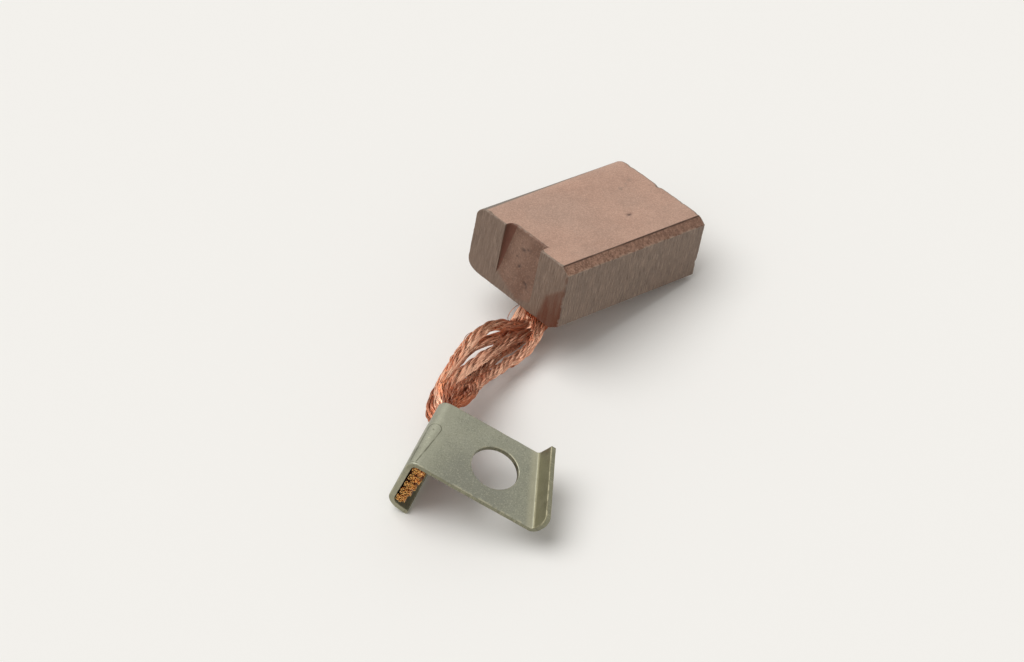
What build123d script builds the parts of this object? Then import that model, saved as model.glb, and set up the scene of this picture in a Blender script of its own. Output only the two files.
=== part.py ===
from build123d import *
import os
from math import cos, pi, radians, sin, tan

os.makedirs("parts", exist_ok=True)

# Carbon brush lying as it comes to rest, in millimetres. The block stands on the lower edge of
# its contact end, nose up, and the terminal stands on the free edge of its fold.
# The origin is on the table, under the middle of the box round block and terminal.

# Block, pressed copper-graphite
BLOCK_LENGTH = 26.5
BLOCK_WIDTH = 18.0
BLOCK_HEIGHT = 10.0
LEFT_ROUND_WIDTH = 2.4
LEFT_ROUND_HEIGHT = 1.55
RIGHT_BEVEL_WIDTH = 1.3
RIGHT_BEVEL_HEIGHT = 0.9

# Spring groove in the rear end, deepest at the top face
GROOVE_WIDTH = 7.0
GROOVE_DEPTH = 1.3
GROOVE_FOOT = 2.0
GROOVE_ROUND = 0.45

# Lead of loose copper strands, tamped into a blind bore in the underside.
# A strand's section has flats, as the outer wires of a bunch lie.
STRAND_DIAMETER = 1.4
STRAND_SIDES = 12
STRAND_COUNT = 5
STRAND_GAP = 0.06
TIER_GAP = 0.25
BORE_DEPTH = 5.0
BORE_FROM_REAR = 4.2
BORE_OFFSET = -1.8
POWDER_WEB = 0.25
POWDER_RIM = 0.5
FIT = 0.02

# Terminal, one folded strip
SHEET = 0.8
STRIP_WIDTH = 11.3
HOLE_DIAMETER = 6.4
WALL_FROM_HOLE = 10.2
SHOULDER_RADIUS = 1.5
FOOT_RADIUS = 2.0
FOLD_SLACK = 0.3
LIP_LENGTH = 3.15
LIP_SLOPE = 6.0
FLANGE_FROM_HOLE = 5.75
FLANGE_SKEW = 18.4
FLANGE_ANGLE = 66.0
FLANGE_BEND = 0.5
FLANGE_LENGTH = 1.95
FLANGE_CORNER = 1.2

# Resting pose: plan position, heading and pitch of block and terminal
BLOCK_X = 27.6
BLOCK_Y = 11.3
BLOCK_PITCH = 16.0
HOLE_X = -19.62
HOLE_Y = -10.01
TERMINAL_HEADING = -63.2
TERMINAL_PITCH = 22.7

# Free stretch of each strand: place on the bore's ring, drop below the bore's mouth,
# tier in the fold from the top, reach past the fold's edge, and the points between
ROUTES = {
    "lead_strand_a": (0, 1.7, 3, 2.2, [
        (4.5, 10.0, 3.2), (3.6, 9.7, 2.6), (2.1, 9.8, 2.8), (0.5, 10.6, 4.0), (-1.9, 11.1, 5.1),
        (-5.2, 10.6, 5.6), (-8.4, 9.6, 5.6), (-11.7, 8.3, 5.2), (-14.7, 7.1, 4.6)]),
    "lead_strand_b": (1, 0.9, 4, 1.7, [
        (5.2, 11.8, 4.1), (3.9, 11.9, 3.0), (2.9, 11.8, 1.9), (1.1, 10.8, 1.7), (-1.2, 11.0, 2.1),
        (-3.7, 11.6, 2.6), (-6.6, 11.2, 3.0), (-10.0, 10.1, 3.1), (-13.0, 8.8, 2.9), (-15.6, 7.8, 2.5),
        (-17.1, 6.8, 2.3)]),
    "lead_strand_c": (4, 1.6, 2, 1.95, [
        (4.2, 8.35, 3.1), (3.1, 8.2, 2.3), (1.5, 8.1, 2.6), (-1.1, 8.1, 3.4), (-4.0, 7.8, 4.2),
        (-7.3, 7.4, 4.9), (-10.7, 6.7, 5.6), (-13.7, 5.8, 5.6)]),
    "lead_strand_d": (2, 3.2, 1, 1.75, [
        (4.6, 9.7, 0.9), (1.5, 9.2, 1.0), (-1.3, 8.8, 1.8), (-4.7, 8.0, 2.7), (-9.0, 6.1, 4.0),
        (-13.4, 3.9, 6.4)]),
    "lead_strand_e": (3, 0.9, 0, 1.25, [
        (5.0, 7.0, 4.3), (3.0, 6.9, 3.5), (1.2, 6.2, 2.9), (-0.7, 5.8, 2.6), (-3.2, 5.7, 2.9),
        (-5.6, 5.3, 3.6), (-8.8, 4.3, 5.0), (-12.1, 2.8, 6.6), (-14.7, 1.3, 7.7)]),
}

# Sizes that follow from the ones above
ring_step = 360.0 / STRAND_COUNT
ring_radius = (STRAND_DIAMETER + POWDER_WEB) / (2.0 * sin(radians(ring_step / 2.0)))
bore_radius = ring_radius + STRAND_DIAMETER / 2.0 + POWDER_RIM
tier_pitch = STRAND_DIAMETER + TIER_GAP
top_tier = -SHEET - STRAND_GAP - STRAND_DIAMETER / 2.0
tier_from_hole = WALL_FROM_HOLE - SHEET - STRAND_GAP - STRAND_DIAMETER / 2.0
fold_height = 2.0 * SHEET + STRAND_COUNT * tier_pitch + FOLD_SLACK
lip_end_u = -WALL_FROM_HOLE + LIP_LENGTH * cos(radians(LIP_SLOPE))
lip_end_n = -fold_height - LIP_LENGTH * sin(radians(LIP_SLOPE))

# The fold's free edge is the terminal's lowest line, and it lies on the table
hole_z = lip_end_u * sin(radians(TERMINAL_PITCH)) - lip_end_n * cos(radians(TERMINAL_PITCH))

# Block plane: origin on the resting edge, x towards the contact end, y to the left, z out of the top
block_plane = Plane(
    origin=(BLOCK_X, BLOCK_Y, 0),
    x_dir=(cos(radians(BLOCK_PITCH)), 0, -sin(radians(BLOCK_PITCH))),
    z_dir=(sin(radians(BLOCK_PITCH)), 0, cos(radians(BLOCK_PITCH))),
)
rear_plane = Plane(block_plane.location * Plane.YZ.offset(-BLOCK_LENGTH).location)
groove_rise = Vector(GROOVE_DEPTH, 0, BLOCK_HEIGHT - GROOVE_FOOT)
groove_plane = Plane(
    block_plane.location
    * Plane(origin=(-BLOCK_LENGTH, 0, GROOVE_FOOT), x_dir=(0, 1, 0), z_dir=groove_rise).location
)
bore_plane = Plane(
    block_plane.location * Location((BORE_FROM_REAR - BLOCK_LENGTH, BORE_OFFSET, 0), (0, 180, 0))
)

# Terminal plane: origin at the hole on the top face, x away from the fold, z out of the top face
terminal_plane = Plane(
    Location((HOLE_X, HOLE_Y, hole_z)) * Location((0, 0, 0), (0, 0, TERMINAL_HEADING))
    * Location((0, 0, 0), (0, TERMINAL_PITCH, 0))
)
fold_plane = Plane(terminal_plane.location * Plane.XZ.location)
bend_place = terminal_plane.location * Location((FLANGE_FROM_HOLE, 0, 0), (0, 0, FLANGE_SKEW))
bend_plane = Plane(bend_place * Plane.YZ.location)
flange_plane = Plane(bend_place * Plane.XZ.location)


# Block: section with rounded left and bevelled right corners drawn out to the contact end,
# then the groove and the lead bore
half_width = BLOCK_WIDTH / 2.0
round_y = half_width - LEFT_ROUND_WIDTH
round_radii = (LEFT_ROUND_WIDTH, LEFT_ROUND_HEIGHT)
with BuildPart() as brush_block:
    with BuildSketch(rear_plane) as section:
        with BuildLine():
            lower = EllipticalCenterArc(
                (round_y, LEFT_ROUND_HEIGHT), *round_radii, start_angle=270, arc_size=90
            )
            upper = EllipticalCenterArc(
                (round_y, BLOCK_HEIGHT - LEFT_ROUND_HEIGHT), *round_radii, start_angle=0, arc_size=90
            )
            Line(lower @ 1, upper @ 0)
            Polyline(
                upper @ 1,
                (RIGHT_BEVEL_WIDTH - half_width, BLOCK_HEIGHT),
                (-half_width, BLOCK_HEIGHT - RIGHT_BEVEL_HEIGHT),
                (-half_width, RIGHT_BEVEL_HEIGHT),
                (RIGHT_BEVEL_WIDTH - half_width, 0),
                lower @ 0,
            )
        make_face()
    extrude(amount=BLOCK_LENGTH)
    with BuildSketch(groove_plane) as groove:
        Rectangle(GROOVE_WIDTH, 2.0 * GROOVE_DEPTH, align=(Align.CENTER, Align.MIN))
        fillet(groove.vertices().group_by(Axis.Y)[0], radius=GROOVE_ROUND)
    extrude(amount=groove_rise.length + GROOVE_DEPTH, mode=Mode.SUBTRACT)
    with Locations(bore_plane):
        Hole(radius=bore_radius, depth=BORE_DEPTH)
brush_block.part.label = "brush_block"
export_step(brush_block.part, "parts/brush_block.step")

# Tamped powder: fills the bore round the strands
with BuildPart() as tamped_powder:
    with BuildSketch(bore_plane):
        Circle(bore_radius - FIT)
        with PolarLocations(ring_radius, STRAND_COUNT, start_angle=ring_step / 2.0):
            Circle(STRAND_DIAMETER / 2.0 + FIT, mode=Mode.SUBTRACT)
    extrude(amount=-(BORE_DEPTH - FIT))
tamped_powder.part.label = "tamped_powder"
export_step(tamped_powder.part, "parts/tamped_powder.step")

# Terminal: plate, wall and lip in one bent profile, cut off along the skewed bend,
# where the flange turns up
with BuildPart() as terminal:
    with BuildSketch(fold_plane):
        with BuildLine():
            FilletPolyline(
                (FLANGE_FROM_HOLE + STRIP_WIDTH, 0),
                (-WALL_FROM_HOLE, 0),
                (-WALL_FROM_HOLE, -fold_height),
                (lip_end_u, lip_end_n),
                radius=[SHOULDER_RADIUS, FOOT_RADIUS],
            )
            offset(amount=SHEET, side=Side.LEFT)
        make_face()
    extrude(amount=STRIP_WIDTH / 2.0, both=True)
    split(bisect_by=bend_plane, keep=Keep.BOTTOM)
    with BuildSketch(flange_plane):
        with BuildLine():
            bend = CenterArc((0, FLANGE_BEND), FLANGE_BEND, -90, FLANGE_ANGLE)
            Line(bend @ 1, (bend @ 1) + (bend % 1) * FLANGE_LENGTH)
            offset(amount=SHEET, side=Side.RIGHT)
        make_face()
    extrude(amount=STRIP_WIDTH / 2.0 / cos(radians(FLANGE_SKEW)), both=True)
    thickness = flange_plane.from_local_coords(
        (sin(radians(FLANGE_ANGLE)), -cos(radians(FLANGE_ANGLE)), 0)
    ) - flange_plane.origin
    tip_edges = terminal.edges().filter_by(Axis(flange_plane.origin, thickness)).sort_by(Axis.X)
    fillet(tip_edges[0], radius=FLANGE_CORNER)
    with Locations(terminal_plane):
        Hole(radius=HOLE_DIAMETER / 2.0, depth=2.0 * SHEET)
terminal.part.label = "terminal"
export_step(terminal.part, "parts/terminal.step")


def corner_radii(points):
    """Largest arc that each corner of a route allows: 0.45 of its shorter run."""
    radii = []
    for before, corner, after in zip(points, points[1:], points[2:]):
        inward = corner - before
        onward = after - corner
        reach = 0.45 * min(inward.length, onward.length)
        radii.append(reach / tan(radians(inward.get_angle(onward) / 2.0)))
    return radii


# Strands: from the bore's end, out of the underside, across and straight through the fold
for name, (ring_place, drop, tier, reach, free_points) in ROUTES.items():
    turn = radians(ring_step * (ring_place + 0.5))
    ring_x = ring_radius * cos(turn)
    ring_y = ring_radius * sin(turn)
    tier_n = top_tier - tier * tier_pitch
    route = [
        bore_plane.from_local_coords((ring_x, ring_y, FIT - BORE_DEPTH)),
        bore_plane.from_local_coords((ring_x, ring_y, drop)),
        *[Vector(point) for point in free_points],
        terminal_plane.from_local_coords((-tier_from_hole, STRIP_WIDTH / 2.0 + reach, tier_n)),
        terminal_plane.from_local_coords((-tier_from_hole, -STRIP_WIDTH / 2.0, tier_n)),
    ]
    radii = corner_radii(route)
    with BuildPart() as strand:
        with BuildLine() as path:
            FilletPolyline(*route, radius=radii)
        with BuildSketch(Plane(origin=path.line @ 0, z_dir=path.line % 0)):
            RegularPolygon(STRAND_DIAMETER / 2.0, STRAND_SIDES)
        sweep()
    strand.part.label = name
    export_step(strand.part, "parts/" + name + ".step")
    length = sum(edge.length for edge in path.edges())
    section_area = STRAND_SIDES / 8.0 * STRAND_DIAMETER ** 2 * sin(2.0 * pi / STRAND_SIDES)
    fill = strand.part.volume / (section_area * length)
    print(name, "length", round(length, 1), "volume ratio", round(fill, 4),
          "radii", [round(radius, 1) for radius in radii])
    print("  ", [tuple(round(c, 2) for c in point) for point in route])
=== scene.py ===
# %% [markdown]
# # Dressing a carbon brush
#
# A carbon brush carries current to a turning rotor. This one is a pressed block of copper and
# graphite, a lead of five copper strands that have opened out, and a folded screw terminal.
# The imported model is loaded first, and everything below is built around it, in metres.

import bpy
import numpy as np
from mathutils import Matrix, Vector


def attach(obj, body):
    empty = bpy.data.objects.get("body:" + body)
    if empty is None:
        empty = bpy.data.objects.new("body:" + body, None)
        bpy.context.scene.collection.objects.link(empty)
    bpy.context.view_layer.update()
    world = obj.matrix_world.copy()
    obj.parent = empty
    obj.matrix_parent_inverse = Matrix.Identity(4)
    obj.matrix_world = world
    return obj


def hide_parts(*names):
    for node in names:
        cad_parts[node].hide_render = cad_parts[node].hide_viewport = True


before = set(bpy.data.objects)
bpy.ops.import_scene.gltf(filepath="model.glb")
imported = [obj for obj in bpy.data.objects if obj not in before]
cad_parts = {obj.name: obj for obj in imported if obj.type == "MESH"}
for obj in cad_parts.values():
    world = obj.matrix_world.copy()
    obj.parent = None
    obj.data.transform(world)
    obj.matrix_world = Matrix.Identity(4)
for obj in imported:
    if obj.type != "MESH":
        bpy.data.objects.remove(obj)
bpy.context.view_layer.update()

MM = 0.001
print("nodes:", sorted(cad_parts))

# %% [markdown]
# ## Camera
#
# The photograph looks down on the brush from about 45 degrees through a long lens. Place, aim and
# lens come from matching the block's straight edges, so the camera is set from its three axes.

# %% Place the camera
CAMERA_PLACE = np.array([-0.19348, -0.22157, 0.30959])
CAMERA_AHEAD = np.array([0.4516, 0.5375, -0.7122])
CAMERA_RIGHT = np.array([0.7433, -0.6681, -0.0330])
CAMERA_LENS = 111.6


def unit(vectors):
    """Each vector divided by its own length."""
    vectors = np.asarray(vectors, dtype=float)
    return vectors / np.linalg.norm(vectors, axis=-1, keepdims=True)


ahead = unit(CAMERA_AHEAD)
right = unit(CAMERA_RIGHT - ahead * (CAMERA_RIGHT @ ahead))
camera_axes = np.eye(4)
camera_axes[:3, 0] = right
camera_axes[:3, 1] = np.cross(right, ahead)
camera_axes[:3, 2] = -ahead
camera_axes[:3, 3] = CAMERA_PLACE

camera_data = bpy.data.cameras.new("photo_camera")
camera_data.lens = CAMERA_LENS
camera_data.sensor_width = 36.0
camera_data.clip_start = 0.01
camera = bpy.data.objects.new("photo_camera", camera_data)
camera.matrix_world = Matrix(camera_axes.tolist())
bpy.context.scene.collection.objects.link(camera)
bpy.context.scene.camera = camera
print("camera looks down by", round(float(np.degrees(np.arcsin(-ahead[2]))), 1), "degrees")

# %% [markdown]
# ## Tools for node trees
#
# Light and materials are trees of nodes, and adding each node by hand takes many lines. This small
# class adds a node, sets or links its sockets by name, and has short forms for what comes up often:
# a sum, a product of two masks, a smooth step and a blend of two colours.

# %% Node tools


class Nodes:
    """Short ways to add and join the nodes of one tree."""

    def __init__(self, tree):
        self.tree = tree

    def join(self, value, socket):
        """Link another socket, or set a plain number, vector or colour."""
        if isinstance(value, bpy.types.NodeSocket):
            self.tree.links.new(value, socket)
        elif isinstance(value, tuple) and len(value) < len(socket.default_value):
            socket.default_value = (*value, 1.0)
        else:
            socket.default_value = value

    def add(self, kind, **values):
        """A node of that kind, with its sockets set by name."""
        node = self.tree.nodes.new(kind)
        for label, value in values.items():
            self.join(value, node.inputs[label.replace("_", " ").title()])
        return node

    def math(self, operation, *values, clamp=True):
        """One math node on sockets or numbers, held to 0..1 unless clamp is off."""
        node = self.tree.nodes.new("ShaderNodeMath")
        node.operation = operation
        node.use_clamp = clamp
        for value, socket in zip(values, node.inputs):
            self.join(value, socket)
        return node.outputs[0]

    def both(self, first, second):
        """The product of two masks, high only where both are."""
        return self.math("MULTIPLY", first, second)

    def ramp(self, value, low, high, bottom=0.0, top=1.0):
        """A value taken smoothly from low..high to bottom..top and held at both ends."""
        node = self.add("ShaderNodeMapRange", value=value, from_min=low, from_max=high,
                        to_min=bottom, to_max=top)
        node.interpolation_type = "SMOOTHSTEP"
        return node.outputs["Result"]

    def mix(self, factor, first, second):
        """A blend of two colours."""
        node = self.tree.nodes.new("ShaderNodeMix")
        node.data_type = "RGBA"
        for value, number in ((factor, 0), (first, 6), (second, 7)):
            self.join(value, node.inputs[number])
        return node.outputs[2]


print("node tools ready")

# %% [markdown]
# ## Floor and light
#
# Small parts like this are photographed on a pale sheet under a large soft lamp. A wide sun from
# above and a little behind gives the bright top faces, and a dim world fills the sides. The world
# shows its pale colour to the camera and to gloss, so that the metal mirrors a pale room.

# %% Build the studio
PALE = (0.915, 0.900, 0.868)
SUN_FROM = (-0.22, 0.30, 0.93)
SUN_STRENGTH = 1.75
SUN_SOFTNESS = 55.0
FILL_COLOUR = (1.0, 0.99, 0.97)
FILL_STRENGTH = 0.46
FLOOR_HALF = 2.0
FLOOR_LOOK = {"Base Color": (*PALE, 1.0), "Roughness": 0.9, "Specular IOR Level": 0.1}

scene = bpy.context.scene
scene.view_settings.view_transform = "Standard"

world = bpy.data.worlds.new("pale_room")
scene.world = world
world.use_nodes = True
world.node_tree.nodes.clear()
room = Nodes(world.node_tree)
rays = room.add("ShaderNodeLightPath").outputs
seen = room.math("MAXIMUM", rays["Is Camera Ray"], rays["Is Glossy Ray"])
seen = room.math("MAXIMUM", seen, rays["Is Transmission Ray"])
fill = room.add("ShaderNodeBackground", color=FILL_COLOUR, strength=FILL_STRENGTH)
pale = room.add("ShaderNodeBackground", color=PALE, strength=1.0)
either = room.tree.nodes.new("ShaderNodeMixShader")
for value, socket in zip((seen, fill.outputs[0], pale.outputs[0]), either.inputs):
    room.join(value, socket)
room.add("ShaderNodeOutputWorld", surface=either.outputs[0])

sun_data = bpy.data.lights.new("soft_sun", "SUN")
sun_data.energy = SUN_STRENGTH
sun_data.angle = np.radians(SUN_SOFTNESS)
sun = bpy.data.objects.new("soft_sun", sun_data)
sun.rotation_euler = Vector(SUN_FROM).to_track_quat("Z", "Y").to_euler()
scene.collection.objects.link(sun)

floor_mesh = bpy.data.meshes.new("floor")
floor_corners = np.array([[-1, -1, 0], [1, -1, 0], [1, 1, 0], [-1, 1, 0]]) * FLOOR_HALF
floor_mesh.from_pydata(floor_corners.tolist(), [], [(0, 1, 2, 3)])
floor = bpy.data.objects.new("floor", floor_mesh)
scene.collection.objects.link(floor)
sheet = bpy.data.materials.new("pale_sheet")
sheet.use_nodes = True
sheet_shader = sheet.node_tree.nodes["Principled BSDF"]
for label, value in FLOOR_LOOK.items():
    sheet_shader.inputs[label].default_value = value
floor_mesh.materials.append(sheet)
print("floor", FLOOR_HALF * 2, "m wide, sun", SUN_STRENGTH, "fill", FILL_STRENGTH)

# %% [markdown]
# ## Helpers for shapes
#
# Real surfaces are never quite even. `soft_noise` gives smooth random values at points in space,
# always the same for the same seed, and `uneven` adds up several. `surface_object` turns grids of
# points into a mesh.

# %% Noise


def lattice(cells, seed):
    """A fixed random number from -1 to 1 for each whole-number cell, by integer hashing."""
    mixed = (cells[..., 0] * 374761393 + cells[..., 1] * 668265263
             + cells[..., 2] * 2147483647 + seed * 1274126177) & 0xFFFFFFFF
    mixed = ((mixed ^ (mixed >> 13)) * 1274126177) & 0xFFFFFFFF
    return ((mixed ^ (mixed >> 16)) & 0xFFFF) / 32767.5 - 1.0


def soft_noise(points, cell, seed):
    """Smooth noise: the eight lattice values round a point, blended by 3t^2 - 2t^3 on each axis."""
    scaled = np.asarray(points, dtype=float) / cell
    base = np.floor(scaled).astype(np.int64)
    part = scaled - base
    part = part * part * (3.0 - 2.0 * part)
    total = np.zeros(scaled.shape[:-1])
    for corner in np.ndindex(2, 2, 2):
        offset = np.array(corner)
        weight = np.where(offset == 1, part, 1.0 - part).prod(axis=-1)
        total += weight * lattice(base + offset, seed)
    return total


def uneven(points, *layers):
    """A sum of noises, one for each (height, cell, seed)."""
    return sum(height * soft_noise(points, cell, seed) for height, cell, seed in layers)


def smoothstep(low, high, values):
    """0 at low, 1 at high, and 3t^2 - 2t^3 between; low may lie above high."""
    t = np.clip((np.asarray(values, dtype=float) - low) / (high - low), 0.0, 1.0)
    return t * t * (3.0 - 2.0 * t)


def bell(distance, width):
    """1 at distance 0, falling off as a bell curve of that width."""
    return np.exp(-(np.asarray(distance, dtype=float) / width) ** 2)


print("noise at the origin:", round(float(soft_noise(np.array([0.3, 0.1, 0.7]), 1.0, 1)), 3))

# %% Meshes from grids


def grid_quads(rows, columns, wrap=False):
    """Corner numbers of the quads of a rows by columns grid, closed across columns if wrap."""
    down = np.arange(rows - 1)[:, None] * columns
    along = np.arange(columns if wrap else columns - 1)[None, :]
    after = (along + 1) % columns
    below = down + columns
    quads = np.stack([down + along, down + after, below + after, below + along], -1)
    return quads.reshape(-1, 4)


def surface_object(name, points, faces, attributes, sharp_angle, face_paint=None):
    """A mesh object of points in metres, with point attributes and angle-smoothed faces."""
    mesh = bpy.data.meshes.new(name)
    mesh.from_pydata(np.asarray(points).tolist(), [], faces)
    for label, values in attributes.items():
        values = np.asarray(values, dtype=np.float32)
        is_vector = values.size == 3 * len(points)
        layer = mesh.attributes.new(label, "FLOAT_VECTOR" if is_vector else "FLOAT", "POINT")
        layer.data.foreach_set("vector" if is_vector else "value", values.ravel())
    if face_paint is not None:
        mesh.polygons.foreach_set("material_index", face_paint)
    mesh.update()
    mesh.shade_smooth()
    mesh.set_sharp_from_angle(angle=np.radians(sharp_angle))
    piece = bpy.data.objects.new(name, mesh)
    bpy.context.scene.collection.objects.link(piece)
    return piece


print("a 3 by 3 grid has", len(grid_quads(3, 3)), "quads")

# %% [markdown]
# ## Shared finishes
#
# Three effects come back in every metal here: a slow cloudiness of the tone, a fine grain, and
# small pits. Each is a node group that gives masks and heights, and each material sets its own
# sizes.

# %% Build the shader groups


def new_group(name, inputs, outputs):
    """An empty shader group: a Vector and named numbers in, named numbers out."""
    group = bpy.data.node_groups.new(name, "ShaderNodeTree")
    group.interface.new_socket("Vector", in_out="INPUT", socket_type="NodeSocketVector")
    for label, value in inputs.items():
        socket = group.interface.new_socket(label, in_out="INPUT", socket_type="NodeSocketFloat")
        socket.default_value = value
    for label in outputs:
        group.interface.new_socket(label, in_out="OUTPUT", socket_type="NodeSocketFloat")
    enter = group.nodes.new("NodeGroupInput").outputs
    leave = group.nodes.new("NodeGroupOutput").inputs
    return Nodes(group), enter, leave


def build_cloud_group():
    """Cloud: layers of noise at Scale, as a mask from 0 to 1 whose middle is at 0.5."""
    tools, enter, leave = new_group("cloud_tone", {"Scale": 200.0, "Detail": 4.0}, ["Cloud"])
    noise = tools.add("ShaderNodeTexNoise", vector=enter["Vector"], scale=enter["Scale"],
                      detail=enter["Detail"], roughness=0.55)
    tools.join(tools.ramp(noise.outputs["Fac"], 0.28, 0.72), leave["Cloud"])
    return tools.tree


def build_grain_group():
    """Grain: fine noise as a height, with its highest and lowest specks as two masks."""
    middle, softness = 0.50, 0.09
    tools, enter, leave = new_group(
        "fine_grain", {"Scale": 4000.0, "Spread": 0.12}, ["Height", "Light", "Dark"])
    noise = tools.add("ShaderNodeTexNoise", vector=enter["Vector"], scale=enter["Scale"],
                      detail=3.0, roughness=0.6).outputs["Fac"]
    tools.join(noise, leave["Height"])
    high = tools.math("ADD", enter["Spread"], middle)
    higher = tools.math("ADD", high, softness)
    low = tools.math("SUBTRACT", middle, enter["Spread"])
    lower = tools.math("SUBTRACT", low, softness)
    tools.join(tools.ramp(noise, high, higher), leave["Light"])
    tools.join(tools.ramp(noise, lower, low, 1.0, 0.0), leave["Dark"])
    return tools.tree


def build_pit_group():
    """Pits: distances from random cell middles below Size, most of them left out by noise."""
    slowness, softness = 0.35, 0.08
    tools, enter, leave = new_group(
        "small_pits", {"Scale": 900.0, "Size": 0.22, "Rarity": 0.58}, ["Pit"])
    cells = tools.add("ShaderNodeTexVoronoi", vector=enter["Vector"], scale=enter["Scale"])
    inside = tools.ramp(cells.outputs["Distance"], 0.0, enter["Size"], 1.0, 0.0)
    slower = tools.math("MULTIPLY", enter["Scale"], slowness, clamp=False)
    spread = tools.add("ShaderNodeTexNoise", vector=enter["Vector"], scale=slower)
    top = tools.math("ADD", enter["Rarity"], softness)
    kept = tools.ramp(spread.outputs["Fac"], enter["Rarity"], top)
    tools.join(tools.both(inside, kept), leave["Pit"])
    return tools.tree


CLOUD = build_cloud_group()
GRAIN = build_grain_group()
PITS = build_pit_group()
print("groups:", [group.name for group in (CLOUD, GRAIN, PITS)])

# %% Tools for materials


class Paint(Nodes):
    """A material's node tree, with its Principled shader and short ways to reach it."""

    def __init__(self, name):
        self.material = bpy.data.materials.new(name)
        self.material.use_nodes = True
        super().__init__(self.material.node_tree)
        self.shader = self.tree.nodes["Principled BSDF"].inputs

    def place(self, turn=(0.0, 0.0, 0.0)):
        """Object coordinates, turned, as a texture vector."""
        coords = self.add("ShaderNodeTexCoord").outputs["Object"]
        return self.add("ShaderNodeMapping", vector=coords, rotation=turn).outputs["Vector"]

    def stretch(self, vector, scale):
        """A vector stretched along its own axes."""
        return self.add("ShaderNodeMapping", vector=vector, scale=scale).outputs["Vector"]

    def group(self, group, vector, **values):
        """One of the shared groups, with its own values."""
        node = self.tree.nodes.new("ShaderNodeGroup")
        node.node_tree = group
        for label, value in {"vector": vector, **values}.items():
            self.join(value, node.inputs[label.title()])
        return node.outputs

    def mask(self, label, kind="Fac"):
        """A point attribute of the piece."""
        node = self.tree.nodes.new("ShaderNodeAttribute")
        node.attribute_name = label
        return node.outputs[kind]

    def layers(self, body, *rows):
        """Colours laid over the body in turn, one for each (mask, share, colour)."""
        for mask, share, colour in rows:
            body = self.mix(self.both(mask, share), body, colour)
        return body

    def finish(self, body, roughness, metallic, bumps):
        """The material, once its shader has colour, roughness, metal and bumps.

        Each bump is (height, strength, distance) and starts from the normal of the one before.
        """
        self.join(body, self.shader["Base Color"])
        self.join(roughness, self.shader["Roughness"])
        self.shader["Metallic"].default_value = metallic
        normal = None
        for height, strength, distance in bumps:
            node = self.add("ShaderNodeBump", height=height, strength=strength, distance=distance)
            if normal is not None:
                self.join(normal, node.inputs["Normal"])
            normal = node.outputs["Normal"]
        self.join(normal, self.shader["Normal"])
        return self.material


print("material tools ready")

# %% [markdown]
# ## The lead
#
# The lead is a copper rope that has opened into five strands. A smooth spline drawn by the route's
# points gives each strand its line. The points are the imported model's, a few of them moved by up to
# 0.7 mm, so the strands leave the bore and lie in the fold where they should.

# %% Routes of the five strands
STRAND_DIAMETER = 1.4
ROUTES = {
    "a": [(6.45, 10.32, 11.25), (4.6, 10.32, 4.83), (4.5, 10.0, 3.2), (3.6, 9.7, 2.6),
          (2.1, 9.8, 2.8), (0.5, 10.6, 4.0), (-1.9, 11.1, 5.1), (-5.2, 10.6, 5.6),
          (-8.4, 9.6, 5.6), (-11.7, 8.3, 5.2), (-14.7, 7.1, 4.6), (-17.34, 2.89, 4.27),
          (-21.79, 0.64, 4.27), (-29.39, -3.2, 4.27)],
    "b": [(7.95, 10.83, 10.81), (6.33, 10.83, 5.16), (5.35, 11.5, 4.15), (4.1, 11.5, 3.05),
          (3.0, 11.5, 1.95), (1.1, 10.8, 1.7), (-1.2, 11.0, 2.1), (-3.7, 11.6, 2.6),
          (-6.6, 11.2, 3.0), (-10.0, 10.1, 3.1), (-13.0, 8.8, 2.9), (-15.4, 7.4, 2.9),
          (-16.9, 6.3, 2.7), (-18.07, 3.23, 2.75), (-21.40, 1.55, 2.75), (-29.68, -2.63, 2.75)],
    "c": [(6.45, 8.67, 11.25), (4.63, 8.67, 4.92), (4.2, 8.35, 3.1), (3.1, 8.2, 2.3),
          (1.5, 8.35, 2.85), (-1.1, 8.3, 3.6), (-4.0, 7.8, 4.2), (-7.3, 7.4, 4.9),
          (-10.7, 6.7, 5.6), (-13.7, 5.8, 5.6), (-17.28, 2.21, 5.79), (-21.81, -0.08, 5.79),
          (-29.1, -3.77, 5.79)],
    "d": [(8.89, 9.5, 10.55), (6.63, 9.5, 2.68), (4.6, 9.7, 0.9), (1.5, 9.2, 1.0),
          (-1.3, 8.8, 1.8), (-4.7, 8.0, 2.7), (-9.0, 6.1, 4.0), (-13.4, 3.9, 6.4),
          (-17.17, 1.55, 7.31), (-21.22, -0.49, 7.31), (-28.82, -4.34, 7.31)],
    "e": [(7.95, 8.17, 10.81), (6.33, 8.17, 5.16), (5.0, 7.0, 4.3), (3.0, 6.9, 3.5),
          (1.2, 6.2, 2.9), (-0.7, 5.8, 2.6), (-3.2, 5.7, 2.9), (-5.6, 5.3, 3.6), (-8.8, 4.3, 5.0),
          (-12.1, 2.8, 6.6), (-14.3, 0.95, 7.8), (-17.33, 0.75, 8.84), (-19.94, -0.57, 8.84),
          (-28.53, -4.91, 8.84)],
}
STRAY_ROUTE = [(4.4, 10.4, 5.2), (3.6, 10.6, 6.0), (2.5, 10.8, 5.85), (1.8, 10.8, 5.6),
               (1.35, 10.8, 5.2), (1.07, 10.8, 4.7), (1.2, 10.8, 4.1), (1.5, 10.6, 3.6)]


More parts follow.
